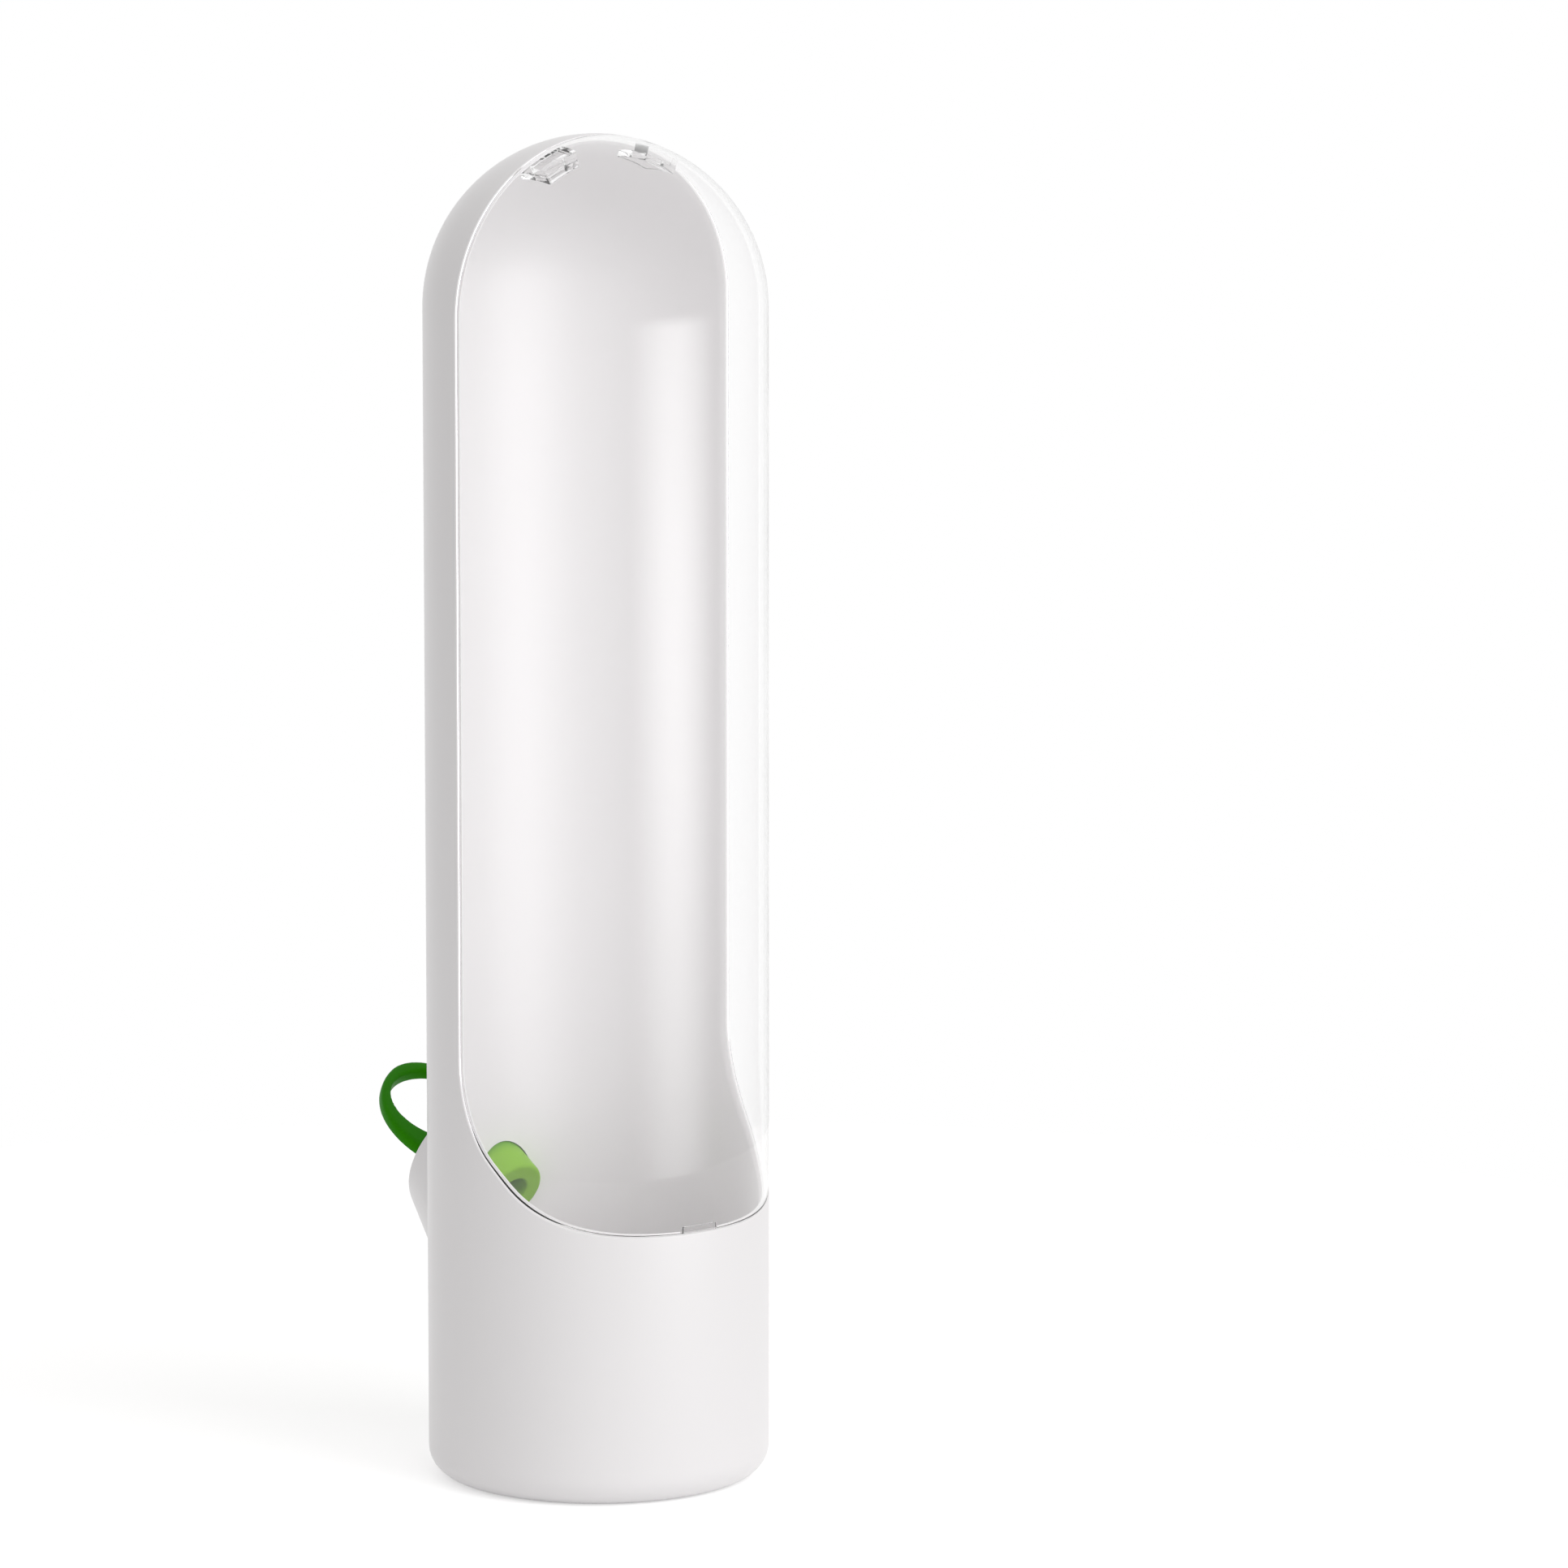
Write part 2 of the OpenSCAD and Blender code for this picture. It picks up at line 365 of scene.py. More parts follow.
def rim(name, profile):
    """The wall along the window's edge: its profile is a list of (inset, radius)."""
    loops = [edge_loop(inset, radius) for inset, radius in profile]
    return formed_grid(name, len(loops[0]), len(loops), lambda i, j: loops[j][i])


def front_skin(name, inset, radius):
    """The window's surface at one radius, up to its edge."""
    columns = [over_the_top(a, z, radius) for a, z in edge_curve(inset, radius)]
    return formed_grid(name, len(columns), len(columns[0]), lambda i, j: columns[i][j])


def back_angles(inset, radius):
    start = edge_angle(inset, radius)
    return [start + (math.pi - start) * i / BACK_STEPS for i in range(BACK_STEPS + 1)]


def back_skin(name, inset, radius):
    """The shell's surface at one radius, behind the window's upright edges."""
    columns = [over_the_top(a, SIDE_Z, radius) for a in back_angles(inset, radius)]
    return formed_grid(name, len(columns), len(columns[0]), lambda i, j: columns[i][j])


def tub_tops(inset, radius):
    """The upper ends of the tub's columns, once round from the front."""
    right = [(a, z) for a, z in reversed(edge_curve(inset, radius))]
    right += [(a, SIDE_Z) for a in back_angles(inset, radius)[1:]]
    return right + [(2 * math.pi - a, z) for a, z in reversed(right[:-1])]


def tub_skin(name, inset, radius):
    """The tub's surface at one radius, from the weld line up to the window's edge."""
    tops = tub_tops(inset, radius)

    def place(i, j):
        angle, top = tops[i]
        height = CAP_Z + (top - CAP_Z) * j / TUB_STEPS
        return Vector((radius * math.sin(angle), -radius * math.cos(angle), height))

    return formed_grid(name, len(tops), TUB_STEPS + 1, place)


def round_edge(inset, radius, bend, inset_sign, radius_sign, steps=3):
    """Profile points round an edge, from the face at its radius to the face at its inset."""
    points = []
    for i in range(steps + 1):
        a = math.pi / 2 * i / steps
        points.append((inset + inset_sign * bend * (1 - math.sin(a)),
                       radius + radius_sign * bend * (1 - math.cos(a))))
    return points


# ---------------------------------------------------------------- materials

def add_node(tree, kind, settings=None, links=None, **values):
    """Adds a node, sets its properties and its unlinked inputs, and links the others."""
    node = tree.nodes.new(kind)
    for key, value in (settings or {}).items():
        setattr(node, key, value)
    for key, value in values.items():
        node.inputs[key.replace("_", " ")].default_value = value
    for key, source in (links or {}).items():
        tree.links.new(source, node.inputs[key])
    return node


def new_material(name):
    material = bpy.data.materials.new(name)
    material.use_nodes = True
    material.node_tree.nodes.clear()
    return material, material.node_tree


def finish_material(tree, surface):
    add_node(tree, "ShaderNodeOutputMaterial", links={"Surface": surface})


def object_point(tree):
    return add_node(tree, "ShaderNodeTexCoord").outputs["Object"]


def moulded_white(name):
    """ABS, injection moulded in a spark-finished mould: an even satin white. Fine grain breaks up
    the highlights, and slow flow shading keeps the wide walls from looking flat."""
    material, tree = new_material(name)
    point = object_point(tree)
    grain = add_node(tree, "ShaderNodeTexNoise", links={"Vector": point},
                     Scale=1 / sizes().grain, Detail=2.0, Roughness=0.5)
    flow = add_node(tree, "ShaderNodeTexNoise", links={"Vector": point},
                    Scale=1 / (60 * MM), Detail=2.0, Roughness=0.5)
    white = colours().white
    shade = [c * 0.975 for c in white[:3]] + [1]
    mix = add_node(tree, "ShaderNodeMix", {"data_type": "RGBA"}, {"Factor": flow.outputs["Fac"]})
    mix.inputs["A"].default_value = shade
    mix.inputs["B"].default_value = white
    rough = add_node(tree, "ShaderNodeMapRange", links={"Value": flow.outputs["Fac"]})
    rough.inputs["To Min"].default_value = 0.27
    rough.inputs["To Max"].default_value = 0.36
    bump = add_node(tree, "ShaderNodeBump", links={"Height": grain.outputs["Fac"]},
                    Strength=0.12, Distance=0.02 * MM)
    shader = add_node(tree, "ShaderNodeBsdfPrincipled", links={
        "Base Color": mix.outputs["Result"], "Roughness": rough.outputs["Result"],
        "Normal": bump.outputs["Normal"]}, IOR=1.53)
    finish_material(tree, shader.outputs["BSDF"])
    return material


def clear_plastic(name):
    """SAN, moulded in a polished mould: water clear, glossy, with faint flow waves. Light falls
    through it onto the white walls behind, so shadow rays pass."""
    material, tree = new_material(name)
    point = object_point(tree)
    flow = add_node(tree, "ShaderNodeTexNoise", links={"Vector": point},
                    Scale=1 / (25 * MM), Detail=1.0, Roughness=0.4)
    bump = add_node(tree, "ShaderNodeBump", links={"Height": flow.outputs["Fac"]},
                    Strength=0.08, Distance=0.3 * MM)
    shader = add_node(tree, "ShaderNodeBsdfPrincipled", links={"Normal": bump.outputs["Normal"]},
                      Roughness=0.02, IOR=1.5)
    shader.inputs["Base Color"].default_value = (1, 1, 1, 1)
    shader.inputs["Transmission Weight"].default_value = 1.0
    clear = add_node(tree, "ShaderNodeBsdfTransparent", Color=(1, 1, 1, 1))
    path = add_node(tree, "ShaderNodeLightPath")
    passes = add_node(tree, "ShaderNodeMath", {"operation": "MAXIMUM"})
    tree.links.new(path.outputs["Is Shadow Ray"], passes.inputs[0])
    tree.links.new(path.outputs["Is Diffuse Ray"], passes.inputs[1])
    mix = add_node(tree, "ShaderNodeMixShader", links={"Fac": passes.outputs["Value"]})
    tree.links.new(shader.outputs["BSDF"], mix.inputs[1])
    tree.links.new(clear.outputs["BSDF"], mix.inputs[2])
    finish_material(tree, mix.outputs["Shader"])
    return material


def silicone(name):
    """Silicone rubber, compression moulded: a deep soft green with a dull sheen. The nose's end is
    painted paler, a painted glow for light from the well shining through the thin silicone."""
    material, tree = new_material(name)
    point = object_point(tree)
    turn = add_node(tree, "ShaderNodeMapping", links={"Vector": point},
                    Location=SPOUT_START, Rotation=(SPOUT_TILT - math.pi / 2, 0, 0))
    turn.vector_type = "TEXTURE"
    axes = add_node(tree, "ShaderNodeSeparateXYZ", links={"Vector": turn.outputs["Vector"]})
    # Painted glow: pale green at the nose's end, fading to the deep green further up the spout's
    # axis
    depth = add_node(tree, "ShaderNodeMapRange", {"interpolation_type": "SMOOTHSTEP"},
                     {"Value": axes.outputs["Z"]})
    depth.inputs["From Min"].default_value = 0.5 * MM
    depth.inputs["From Max"].default_value = 6 * MM
    mix = add_node(tree, "ShaderNodeMix", {"data_type": "RGBA"},
                   {"Factor": depth.outputs["Result"]})
    mix.inputs["A"].default_value = colours().nose_painted_glow
    mix.inputs["B"].default_value = colours().green
    grain = add_node(tree, "ShaderNodeTexNoise", links={"Vector": point},
                     Scale=1 / (0.5 * MM), Detail=3.0, Roughness=0.6)
    bump = add_node(tree, "ShaderNodeBump", links={"Height": grain.outputs["Fac"]},
                    Strength=0.2, Distance=0.02 * MM)
    shader = add_node(tree, "ShaderNodeBsdfPrincipled", links={
        "Base Color": mix.outputs["Result"], "Normal": bump.outputs["Normal"]},
        Roughness=0.42, IOR=1.41)
    shader.inputs["Specular IOR Level"].default_value = 0.06
    finish_material(tree, shader.outputs["BSDF"])
    return material


# ---------------------------------------------------------------- pieces

class KEEPER_OT_shell(bpy.types.Operator):
    """Models the white shell: tub, back, dome, lip and filling spout"""
    bl_idname = "keeper.shell"
    bl_label = "Shell"

    def execute(self, context):
        s = sizes()
        bore_r = BODY_R - s.wall
        lip_r = bore_r + s.lip_wall
        outer, inner = s.edge_round, s.lip_round
        outside = (-outer, BODY_R)
        inside = (-s.lip_taper, bore_r)
        tip = lip_r - s.lip_tip - bore_r
        profile = round_edge(0, BODY_R, outer, -1, -1) + [(0, lip_r)]
        profile += round_edge(s.lip_width, lip_r, inner, -1, -1)
        for i in range(LIP_STEPS, -1, -1):
            share = i / LIP_STEPS
            profile.append((s.lip_width * share - s.lip_taper * (1 - share),
                            bore_r + tip * share ** 2))
        tops = [tub_tops(*outside), tub_tops(*inside)]

        def weld_face(i, j):
            radius = (BODY_R, bore_r)[j]
            angle = tops[j][i][0]
            return Vector((radius * math.sin(angle), -radius * math.cos(angle), CAP_Z))

        parts = [
            tub_skin("tub_outside", *outside), back_skin("back_outside", *outside),
            tub_skin("tub_inside", *inside), back_skin("back_inside", *inside),
            rim("lip", profile), formed_grid("weld_face", len(tops[0]), 2, weld_face),
        ]
        shell = join("shell", parts)
        close_up(shell)
        combine(shell, self.spout(s), "UNION")
        way = self.spout_recess(s)
        combine(way, self.spout_bore(), "UNION")
        combine(shell, way, "DIFFERENCE")
        combine(shell, self.notch_cutter(s), "DIFFERENCE")
        close_up(shell, 0.01 * MM)
        smooth(shell)
        settle(shell, "shell", "body_shell", moulded_white("abs_moulded_white"))
        return {"FINISHED"}

    def spout(self, s):
        """The spout's outside, a tapered boss that starts inside the shell's wall."""
        flare = math.tan(math.radians(15))
        mouth_r, root, mouth_round = 16 * MM, -10 * MM, 0.6 * MM
        outline = rounded([(0, root), (mouth_r + (SPOUT_LEN - root) * flare, root),
                           (mouth_r, SPOUT_LEN), (0, SPOUT_LEN)], mouth_round)
        boss = spun("spout", outline)
        lay_on_spout(boss)
        combine(boss, well(BODY_R - s.wall / 2), "DIFFERENCE")
        return boss

    def spout_bore(self):
        """The round hole for the plug's nose, from inside the well to the recess."""
        bore = spun("spout_bore", [(0, -BODY_R / 2), (SEAT_R, -BODY_R / 2),
                                   (SEAT_R, RECESS_B + RIM), (0, RECESS_B + RIM)])
        lay_on_spout(bore)
        return bore

    def spout_recess(self, s):
        """The recess for the plug's head, which stops short of the well."""
        bevel, overlap = 0.5 * MM, 1 * MM
        slope = (RECESS_B - BORE_LEN) / (RECESS_R - RIM - SEAT_R)
        cone_foot = (SEAT_R - overlap, BORE_LEN - overlap * slope)
        outline = [(0, cone_foot[1]), cone_foot, (RECESS_R - RIM, RECESS_B),
                   (RECESS_R, RECESS_B), (RECESS_R, SPOUT_LEN - bevel),
                   (RECESS_R + 1.5 * bevel, SPOUT_LEN + bevel / 2),
                   (RECESS_R + 1.5 * bevel, 2 * SPOUT_LEN),
                   (0, 2 * SPOUT_LEN)]
        recess = spun("spout_recess", outline)
        lay_on_spout(recess)
        combine(recess, well(BODY_R - s.wall + SKIN), "DIFFERENCE")
        return recess

    def notch_cutter(self, s):
        """A block that cuts the notch for the window's key into the lip at the front."""
        spare, depth = 0.1 * MM, 12 * MM
        deselect()
        bpy.ops.mesh.primitive_cube_add(size=1)
        cutter = bpy.context.active_object
        cutter.data.transform(
            Matrix.Translation((0, -BODY_R, SILL_Z + (s.lip_width + spare) / 2))
            @ Matrix.Diagonal((s.notch, depth, s.lip_width + spare, 1)))
        return cutter


class KEEPER_OT_base(bpy.types.Operator):
    """Models the base cap with its rounded edge and weld ring"""
    bl_idname = "keeper.base"
    bl_label = "Base"

    def execute(self, context):
        s = sizes()
        gap, ring_wall, floor_z, foot_round = 0.15 * MM, 1.4 * MM, 2 * MM, 0.6 * MM
        ring_out = BODY_R - s.wall - gap
        ring_in = ring_out - ring_wall
        outline = rounded([
            (0, CAP_LOW.z), (BODY_R, CAP_LOW.z, s.base_round), (BODY_R, CAP_Z, 0),
            (ring_out, CAP_Z, 0), (ring_out, CAP_HIGH.z), (ring_in, CAP_HIGH.z),
            (ring_in, floor_z, foot_round), (0, floor_z)], s.edge_round, 8)
        cap = spun("base", outline, ROUND_STEPS)
        smooth(cap)
        settle(cap, "shell", "base_cap", moulded_white("abs_moulded_white_base"))
        return {"FINISHED"}


class KEEPER_OT_window(bpy.types.Operator):
    """Models the clear window with its key and its two shoulder tabs"""
    bl_idname = "keeper.window"
    bl_label = "Window"

    def execute(self, context):
        s = sizes()
        glass_r = BODY_R - s.window_wall
        outer, inner = s.window_round, s.lip_round
        profile = round_edge(s.seam, BODY_R, outer, 1, -1)
        profile += list(reversed(round_edge(s.seam, glass_r, inner, 1, 1)))
        parts = [front_skin("window_outside", s.seam + outer, BODY_R),
                 front_skin("window_inside", s.seam + inner, glass_r),
                 rim("window_edge", profile)]
        window = join("window", parts)
        close_up(window)
        for side in (1, -1):
            for part in self.shoulder_tab(s, side):
                combine(window, part, "UNION")
        combine(window, self.key(s), "UNION")
        smooth(window)
        settle(window, "window", "front_window", clear_plastic("san_clear_polished"))
        return {"FINISHED"}

    def curved_block(self, name, low, high, place):
        """A small block, bent to the body by place(across, along, radius)."""
        deselect()
        bpy.ops.mesh.primitive_cube_add(size=1)
        block = bpy.context.active_object
        block.name = name
        in_edit_mode(block, lambda: bpy.ops.mesh.subdivide(number_cuts=7))
        part_of_side = 0.06
        modify(block, "BEVEL", width=part_of_side, segments=2, limit_method="ANGLE")
        for vertex in block.data.vertices:
            share = vertex.co + Vector((0.5, 0.5, 0.5))
            vertex.co = place(*(low[i] + (high[i] - low[i]) * share[i] for i in range(3)))
        close_up(block)
        return block

    def shoulder_tab(self, s, side):
        """A tongue that reaches behind the shell's lip, and the root that holds it."""
        clearance, thickness, half = 0.3 * MM, 1.4 * MM, 4 * MM
        out_r = BODY_R - s.wall - clearance
        root_r = BODY_R - s.window_wall / 2
        middle = math.radians(67)

        def place(across, along, radius):
            angle = middle + across / out_r
            in_plane = math.sqrt(max(radius ** 2 - along ** 2, 0))
            return Vector((side * in_plane * math.cos(angle), along,
                           DOME_Z + in_plane * math.sin(angle)))

        front, back, root_back, inset = -5.5 * MM, 3.5 * MM, -1.2 * MM, 0.1 * MM
        return (self.curved_block("tab", (-half, front, out_r - thickness),
                                  (half, back, out_r), place),
                self.curved_block("tab_root", (inset - half, front + inset, out_r - 1 * MM),
                                  (half - inset, root_back, root_r), place))

    def key(self, s):
        """The key that fills the notch in the shell's lip."""
        clearance, rise, cover = 0.3 * MM, 0.9 * MM, 0.5 * MM
        half = s.notch / 2 - clearance

        def place(across, height, radius):
            angle = across / BODY_R
            return Vector((radius * math.sin(angle), -radius * math.cos(angle), height))

        return self.curved_block("key", (-half, SILL_Z + s.seam, BODY_R - s.key_wall),
                                 (half, SILL_Z + s.lip_width + rise, BODY_R - cover), place)


class KEEPER_OT_plug(bpy.types.Operator):
    """Models the silicone plug: nose, head and pull ring"""
    bl_idname = "keeper.plug"
    bl_label = "Plug"

    def execute(self, context):
        s = sizes()
        plug = self.nose()
        head = self.head()
        lay_on_spout(plug)
        lay_on_spout(head)
        combine(head, well(BODY_R - s.wall + SKIN + HEAD_GAP), "DIFFERENCE")
        combine(plug, head, "UNION")
        combine(plug, self.pull_ring(s), "UNION")
        modify(plug, "REMESH", mode="VOXEL", voxel_size=0.24 * MM)
        modify(plug, "SMOOTH", factor=0.5, iterations=3)
        for polygon in plug.data.polygons:
            polygon.use_smooth = True
        plug.name = plug.data.name = "plug"
        settle(plug, "plug", "fill_plug", silicone("silicone_moulded_green"))
        return {"FINISHED"}

    def nose(self):
        """The nose, hollow up the middle, spun from half of its section."""
        nose_r, end, hole_r, hole_top = SEAT_R - PLUG_GAP, -4 * MM, 2.9 * MM, 5 * MM
        return spun("nose", rounded([
            (0, hole_top), (hole_r, hole_top, 1 * MM), (hole_r, end, 0.3 * MM),
            (nose_r, end, 0.7 * MM), (nose_r, RECESS_B + RIM, 0), (0, RECESS_B + RIM)], 0.3 * MM))

    def head(self):
        """The head with its domed crown, over the solid end of the nose."""
        head_r, seat = RECESS_R - PLUG_GAP, RECESS_B + PLUG_GAP
        core_r, core_b = 3.2 * MM, 6.2 * MM
        crown, crown_steps = 0.8 * MM, 6
        outline = rounded([
            (0, core_b), (core_r, core_b, 0), (core_r, BORE_LEN, 0),
            (SEAT_R - PLUG_GAP, BORE_LEN, 0), (head_r - RIM, seat), (head_r, seat),
            (head_r, SPOUT_LEN)], 0.3 * MM)
        outline[-1] = (head_r - 0.05 * MM, SPOUT_LEN - 0.1 * MM)      # breaks the sharp edge
        for i in range(crown_steps):
            across = 1 - (i + 1) / crown_steps
            outline.append((head_r * across, SPOUT_LEN + crown * (1 - across ** 2)))
        return spun("head", outline)

    def pull_ring(self, s):
        """The flat ring behind the head, in the plane of the spout's axis and X."""
        half_w, side_r, top_r, hole_r = 14.2 * MM, 19.4 * MM, 8.8 * MM, 10.8 * MM
        side_b, hole_b = SPOUT_LEN + 8.9 * MM, SPOUT_LEN + 13.1 * MM
        side_x = side_r - half_w
        top_b = side_b + math.sqrt((side_r - top_r) ** 2 - side_x ** 2)
        meet = math.atan2(top_b - side_b, side_x)
        root = math.asin((SPOUT_LEN - 0.8 * MM - side_b) / side_r)
        steps = 40

        def outer(i):
            """Up the right side and over half of the top."""
            share = i / steps
            split = 0.72
            if share < split:
                a = root + (meet - root) * share / split
                return Vector((side_r * math.cos(a) - side_x, side_b + side_r * math.sin(a)))
            a = meet + (math.pi / 2 - meet) * (share - split) / (1 - split)
            return Vector((top_r * math.cos(a), top_b + top_r * math.sin(a)))

        def inner(i):
            a = -math.pi / 2 + math.pi * i / steps
            return Vector((hole_r * math.cos(a), hole_b + hole_r * math.sin(a)))

        section_steps = 16

        def place(i, j):
            mirrored = i > steps
            step = 2 * steps - i if mirrored else i
            middle = (outer(step) + inner(step)) / 2
            half = (outer(step) - inner(step)) / 2
            turn = 2 * math.pi * j / section_steps
            c, n = math.cos(turn), math.sin(turn)
            wide = math.copysign(abs(c) ** 0.45, c)
            thick = math.copysign(abs(n) ** 0.45, n)
            spot = middle + half * wide
            x = -spot.x if mirrored else spot.x
            return Vector((x, thick * s.ring_wall / 2, spot.y))

        ring = formed_grid("pull_ring", 2 * steps + 1, section_steps + 1, place)
        close_up(ring)
        in_edit_mode(ring, lambda: bpy.ops.mesh.select_all(action="DESELECT"),
                     lambda: bpy.ops.mesh.select_non_manifold(),
                     lambda: bpy.ops.mesh.edge_face_add(),
                     lambda: bpy.ops.mesh.select_all(action="SELECT"),
                     lambda: bpy.ops.mesh.normals_make_consistent(inside=False))
        lay_on_spout(ring)
        return ring


# ---------------------------------------------------------------- floor, light and camera

# The camera that the photograph was taken with, found from the keeper's outline in it.
VIEW_AZIMUTH = math.radians(-36.97)
VIEW_ELEVATION = math.radians(10.44)
VIEW_DISTANCE = 2.1179
VIEW_LENS = 257.07
IMAGE_SIZE = 1932
SENSOR_WIDTH = 36.0
MIDDLE_X, MIDDLE_Y = 735.64, 995.65     # where the middle of the body's axis lies in the image

# Name, azimuth and elevation in degrees, size in metres and power in watts.
LIGHTS = (
    ("key", 16, 26, 1.1, 6.9),
    ("fill", -30, 6, 1.1, 2.5),
    ("top", 0, 55, 1.0, 3.2),
    ("back", 160, 15, 1.0, 3.0),
)
LIGHT_DISTANCE = 1.5
WORLD_LIGHT = 0.475                     # strength of the surroundings where they light the keeper
FLOOR_RADIUS = 0.32
FLOOR_LIFT = 0.45                       # brings the floor up to the white round it


class KEEPER_OT_stage(bpy.types.Operator):
    """Sets up the floor, the soft light, the white surroundings and the camera"""
    bl_idname = "keeper.stage"
    bl_label = "Stage"

    def execute(self, context):
        self.floor()
        self.surroundings()
        for light in LIGHTS:
            self.light(*light)
        self.softbox("softbox", 17, -7.5, 1.4, (1.9, 0.64), 3.9)
        self.camera()
        context.scene.view_settings.view_transform = "Standard"
        return {"FINISHED"}

    def direction(self, azimuth, elevation):
        a, e = math.radians(azimuth), math.radians(elevation)
        return Vector((math.sin(a) * math.cos(e), -math.cos(a) * math.cos(e), math.sin(e)))

    def facing(self, item, azimuth, elevation, distance):
        """Places a light or a panel round the keeper so that it faces its middle."""
        away = self.direction(azimuth, elevation)
        item.location = Vector((0, 0, TOP_Z / 2)) + away * distance
        item.rotation_euler = away.to_track_quat("Z", "Y").to_euler()

    def floor(self):
        """A round white floor that ends in the white surroundings and only shows the shadow."""
        deselect()
        bpy.ops.mesh.primitive_circle_add(vertices=96, radius=FLOOR_RADIUS, fill_type="NGON")
        floor = bpy.context.active_object
        floor.name = "floor"
        material, tree = new_material("floor_matt_white")
        plain = add_node(tree, "ShaderNodeBsdfDiffuse", Color=colours().floor)
        path = add_node(tree, "ShaderNodeLightPath")
        lift = add_node(tree, "ShaderNodeEmission", links={"Strength": self.seen(tree, path)})
        lift.inputs["Color"].default_value = (FLOOR_LIFT, FLOOR_LIFT, FLOOR_LIFT, 1)
        both = add_node(tree, "ShaderNodeAddShader")
        tree.links.new(plain.outputs["BSDF"], both.inputs[0])
        tree.links.new(lift.outputs["Emission"], both.inputs[1])
        finish_material(tree, both.outputs["Shader"])
        floor.data.materials.append(material)

    def seen(self, tree, path):
        """1 for camera, glossy and transmission rays, and 0 for those that light the object."""
        first = add_node(tree, "ShaderNodeMath", {"operation": "MAXIMUM"})
        tree.links.new(path.outputs["Is Camera Ray"], first.inputs[0])
        tree.links.new(path.outputs["Is Glossy Ray"], first.inputs[1])
        second = add_node(tree, "ShaderNodeMath", {"operation": "MAXIMUM"})
        tree.links.new(first.outputs["Value"], second.inputs[0])
        tree.links.new(path.outputs["Is Transmission Ray"], second.inputs[1])
        return second.outputs["Value"]

    def surroundings(self):
        world = bpy.data.worlds.new("studio")
        bpy.context.scene.world = world
        world.use_nodes = True
        tree = world.node_tree
        tree.nodes.clear()
        light = add_node(tree, "ShaderNodeBackground", Strength=WORLD_LIGHT)
        light.inputs["Color"].default_value = linear("#fbfaf9")
        white = add_node(tree, "ShaderNodeBackground", Strength=1.0)
        white.inputs["Color"].default_value = (1, 1, 1, 1)
        path = add_node(tree, "ShaderNodeLightPath")
        mix = add_node(tree, "ShaderNodeMixShader", links={"Fac": self.seen(tree, path)})
        tree.links.new(light.outputs["Background"], mix.inputs[1])
        tree.links.new(white.outputs["Background"], mix.inputs[2])
        add_node(tree, "ShaderNodeOutputWorld", links={"Surface": mix.outputs["Shader"]})

    def light(self, name, azimuth, elevation, size, power):
        """A light that lights the keeper but isn't mirrored in it."""
        data = bpy.data.lights.new(name, "AREA")
        data.shape = "RECTANGLE"
        data.size = data.size_y = size
        data.energy = power
        light = bpy.data.objects.new(name, data)
        light.visible_camera = light.visible_glossy = light.visible_transmission = False
        bpy.context.scene.collection.objects.link(light)
        self.facing(light, azimuth, elevation, LIGHT_DISTANCE)

    def softbox(self, name, azimuth, elevation, distance, size, strength):
        """A panel that is only mirrored: the glow of its cloth fades towards its edges."""
        deselect()
        bpy.ops.mesh.primitive_plane_add(size=2)
        panel = bpy.context.active_object
        panel.name = name
        panel.scale = (size[0] / 2, size[1] / 2, 1)
        self.facing(panel, azimuth, elevation, distance)
        material, tree = new_material("softbox_cloth")
        axes = add_node(tree, "ShaderNodeSeparateXYZ", links={"Vector": object_point(tree)})
        glow = None
        for axis in ("X", "Y"):
            side = add_node(tree, "ShaderNodeMath", {"operation": "ABSOLUTE"})
            tree.links.new(axes.outputs[axis], side.inputs[0])
            fade = add_node(tree, "ShaderNodeMapRange", {"interpolation_type": "SMOOTHSTEP"},
                            {"Value": side.outputs["Value"]})
            fade.inputs["From Min"].default_value = 1.0
            fade.inputs["From Max"].default_value = 0.0
            if glow:
                both = add_node(tree, "ShaderNodeMath", {"operation": "MULTIPLY"})
                tree.links.new(glow, both.inputs[0])
                tree.links.new(fade.outputs["Result"], both.inputs[1])
                glow = both.outputs["Value"]
            else:
                glow = fade.outputs["Result"]
        level = add_node(tree, "ShaderNodeMapRange", {"clamp": False}, {"Value": glow})
        level.inputs["To Min"].default_value = 1.0
        level.inputs["To Max"].default_value = strength
        shine = add_node(tree, "ShaderNodeEmission", links={"Strength": level.outputs["Result"]})
        shine.inputs["Color"].default_value = (1, 1, 1, 1)
        finish_material(tree, shine.outputs["Emission"])
        panel.data.materials.append(material)
        panel.visible_camera = panel.visible_diffuse = panel.visible_shadow = False

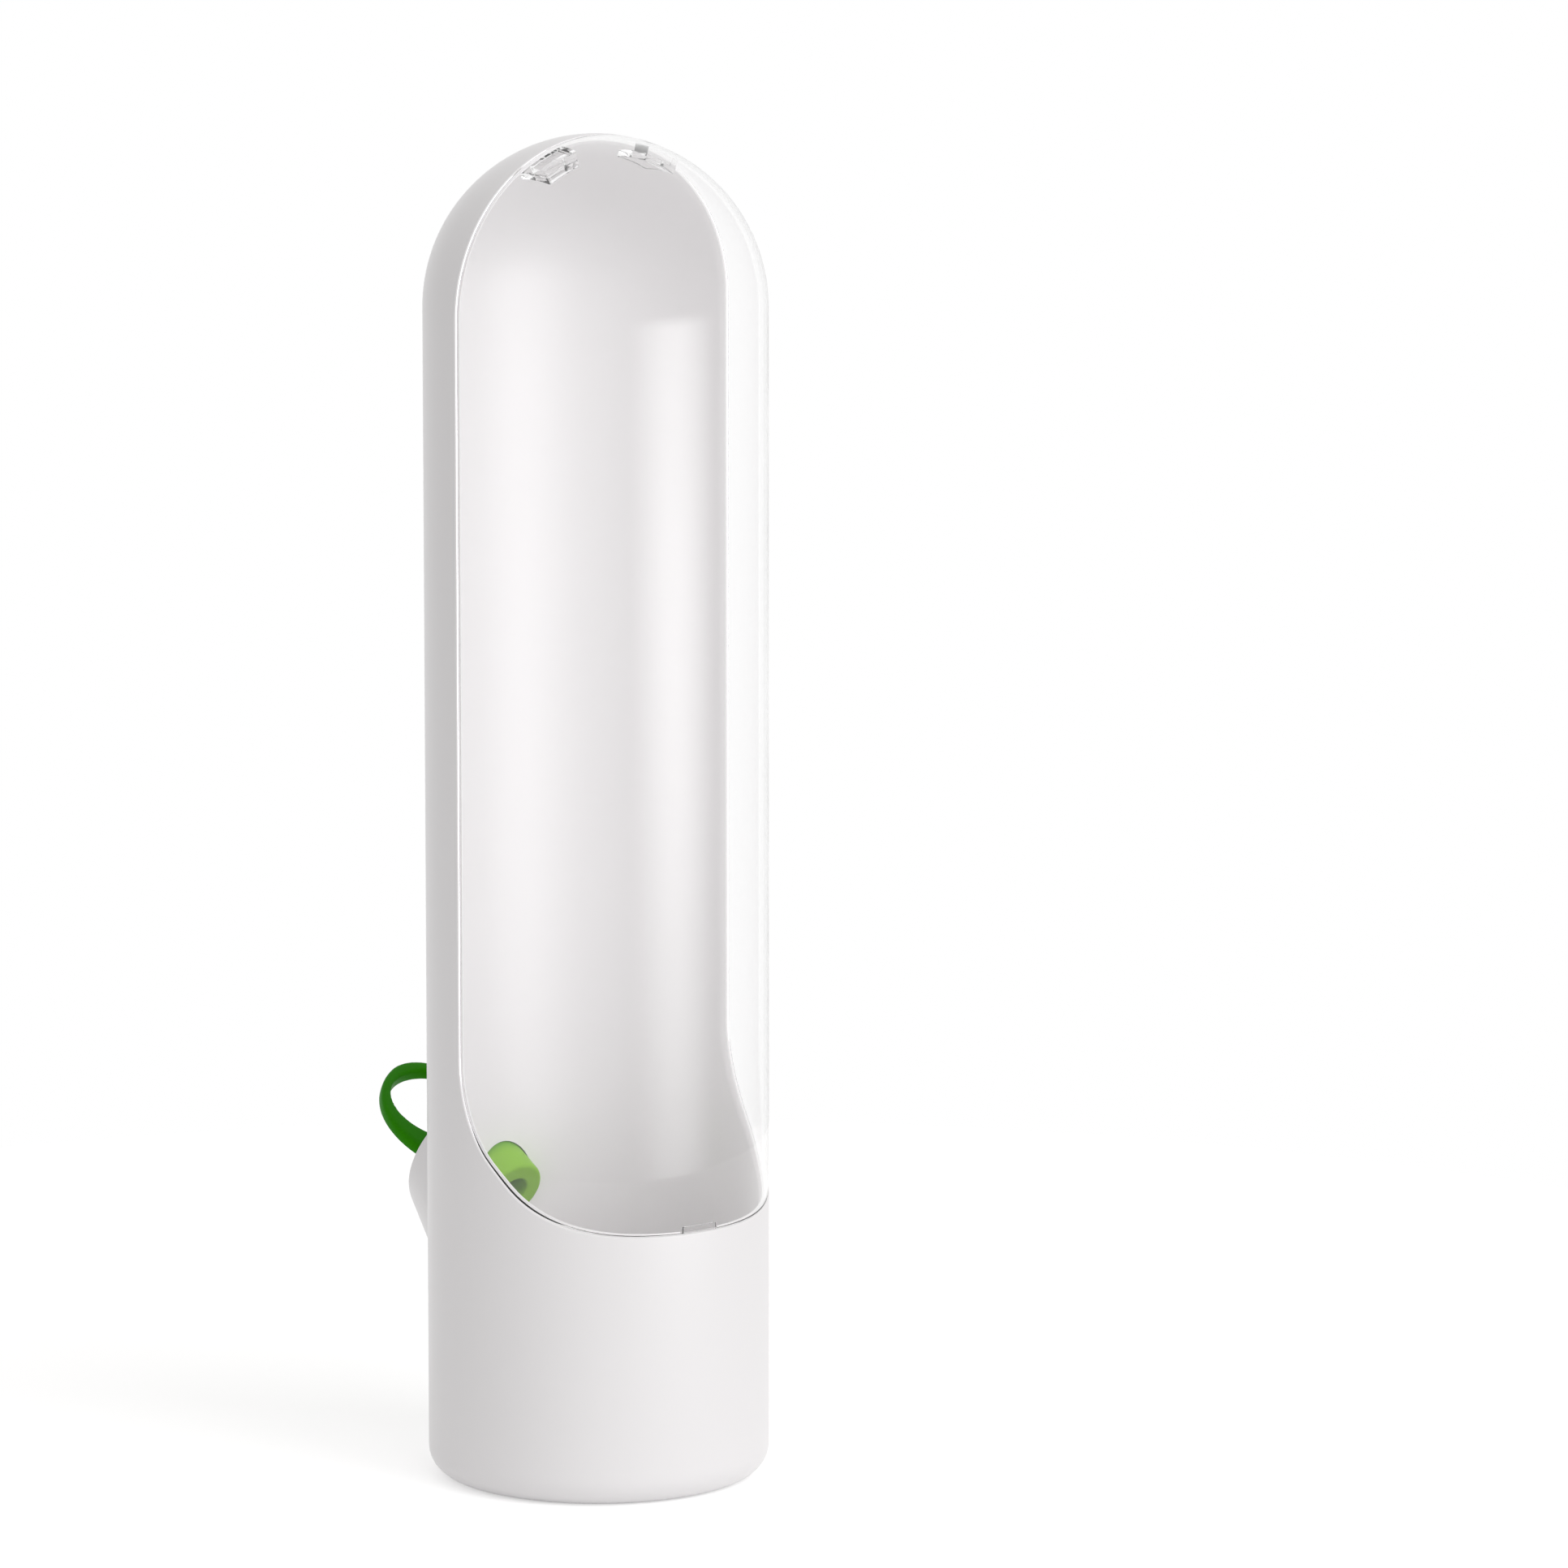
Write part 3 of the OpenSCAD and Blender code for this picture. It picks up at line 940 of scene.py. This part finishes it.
    def camera(self):
        back = self.direction(math.degrees(VIEW_AZIMUTH), math.degrees(VIEW_ELEVATION))
        right = Vector((math.cos(VIEW_AZIMUTH), math.sin(VIEW_AZIMUTH), 0))
        up = back.cross(right)
        middle = Vector((0, 0, TOP_Z / 2))
        per_pixel = VIEW_DISTANCE * SENSOR_WIDTH / VIEW_LENS / IMAGE_SIZE
        aim = (middle + right * (IMAGE_SIZE / 2 - MIDDLE_X) * per_pixel
               + up * (MIDDLE_Y - IMAGE_SIZE / 2) * per_pixel)
        data = bpy.data.cameras.new("camera")
        data.lens = VIEW_LENS
        data.sensor_width = SENSOR_WIDTH
        data.clip_start, data.clip_end = 0.01, 50
        camera = bpy.data.objects.new("camera", data)
        bpy.context.scene.collection.objects.link(camera)
        camera.location = middle + back * VIEW_DISTANCE
        camera.rotation_euler = (camera.location - aim).to_track_quat("Z", "Y").to_euler()
        bpy.context.scene.camera = camera


class KEEPER_PT_panel(bpy.types.Panel):
    """Lists the keeper's pieces, sizes and colours"""
    bl_idname = "KEEPER_PT_panel"
    bl_label = "Herb Keeper"
    bl_space_type = "VIEW_3D"
    bl_region_type = "UI"
    bl_category = "Herb Keeper"

    def draw(self, context):
        for group in (context.scene.keeper_sizes, context.scene.keeper_colours):
            box = self.layout.box()
            for name in group.__annotations__:
                box.prop(group, name)
        for operator in PIECES:
            self.layout.operator(operator.bl_idname)


PIECES = (KEEPER_OT_shell, KEEPER_OT_base, KEEPER_OT_window, KEEPER_OT_plug, KEEPER_OT_stage)
CLASSES = (KeeperSizes, KeeperColours, *PIECES, KEEPER_PT_panel)


def register():
    for cls in CLASSES:
        bpy.utils.register_class(cls)
    bpy.types.Scene.keeper_sizes = PointerProperty(type=KeeperSizes)
    bpy.types.Scene.keeper_colours = PointerProperty(type=KeeperColours)


def unregister():
    del bpy.types.Scene.keeper_colours
    del bpy.types.Scene.keeper_sizes
    for cls in reversed(CLASSES):
        bpy.utils.unregister_class(cls)


def main():
    register()
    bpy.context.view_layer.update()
    for operator in (bpy.ops.keeper.shell, bpy.ops.keeper.base, bpy.ops.keeper.window,
                     bpy.ops.keeper.plug, bpy.ops.keeper.stage):
        operator()


if __name__ == "__main__":
    main()
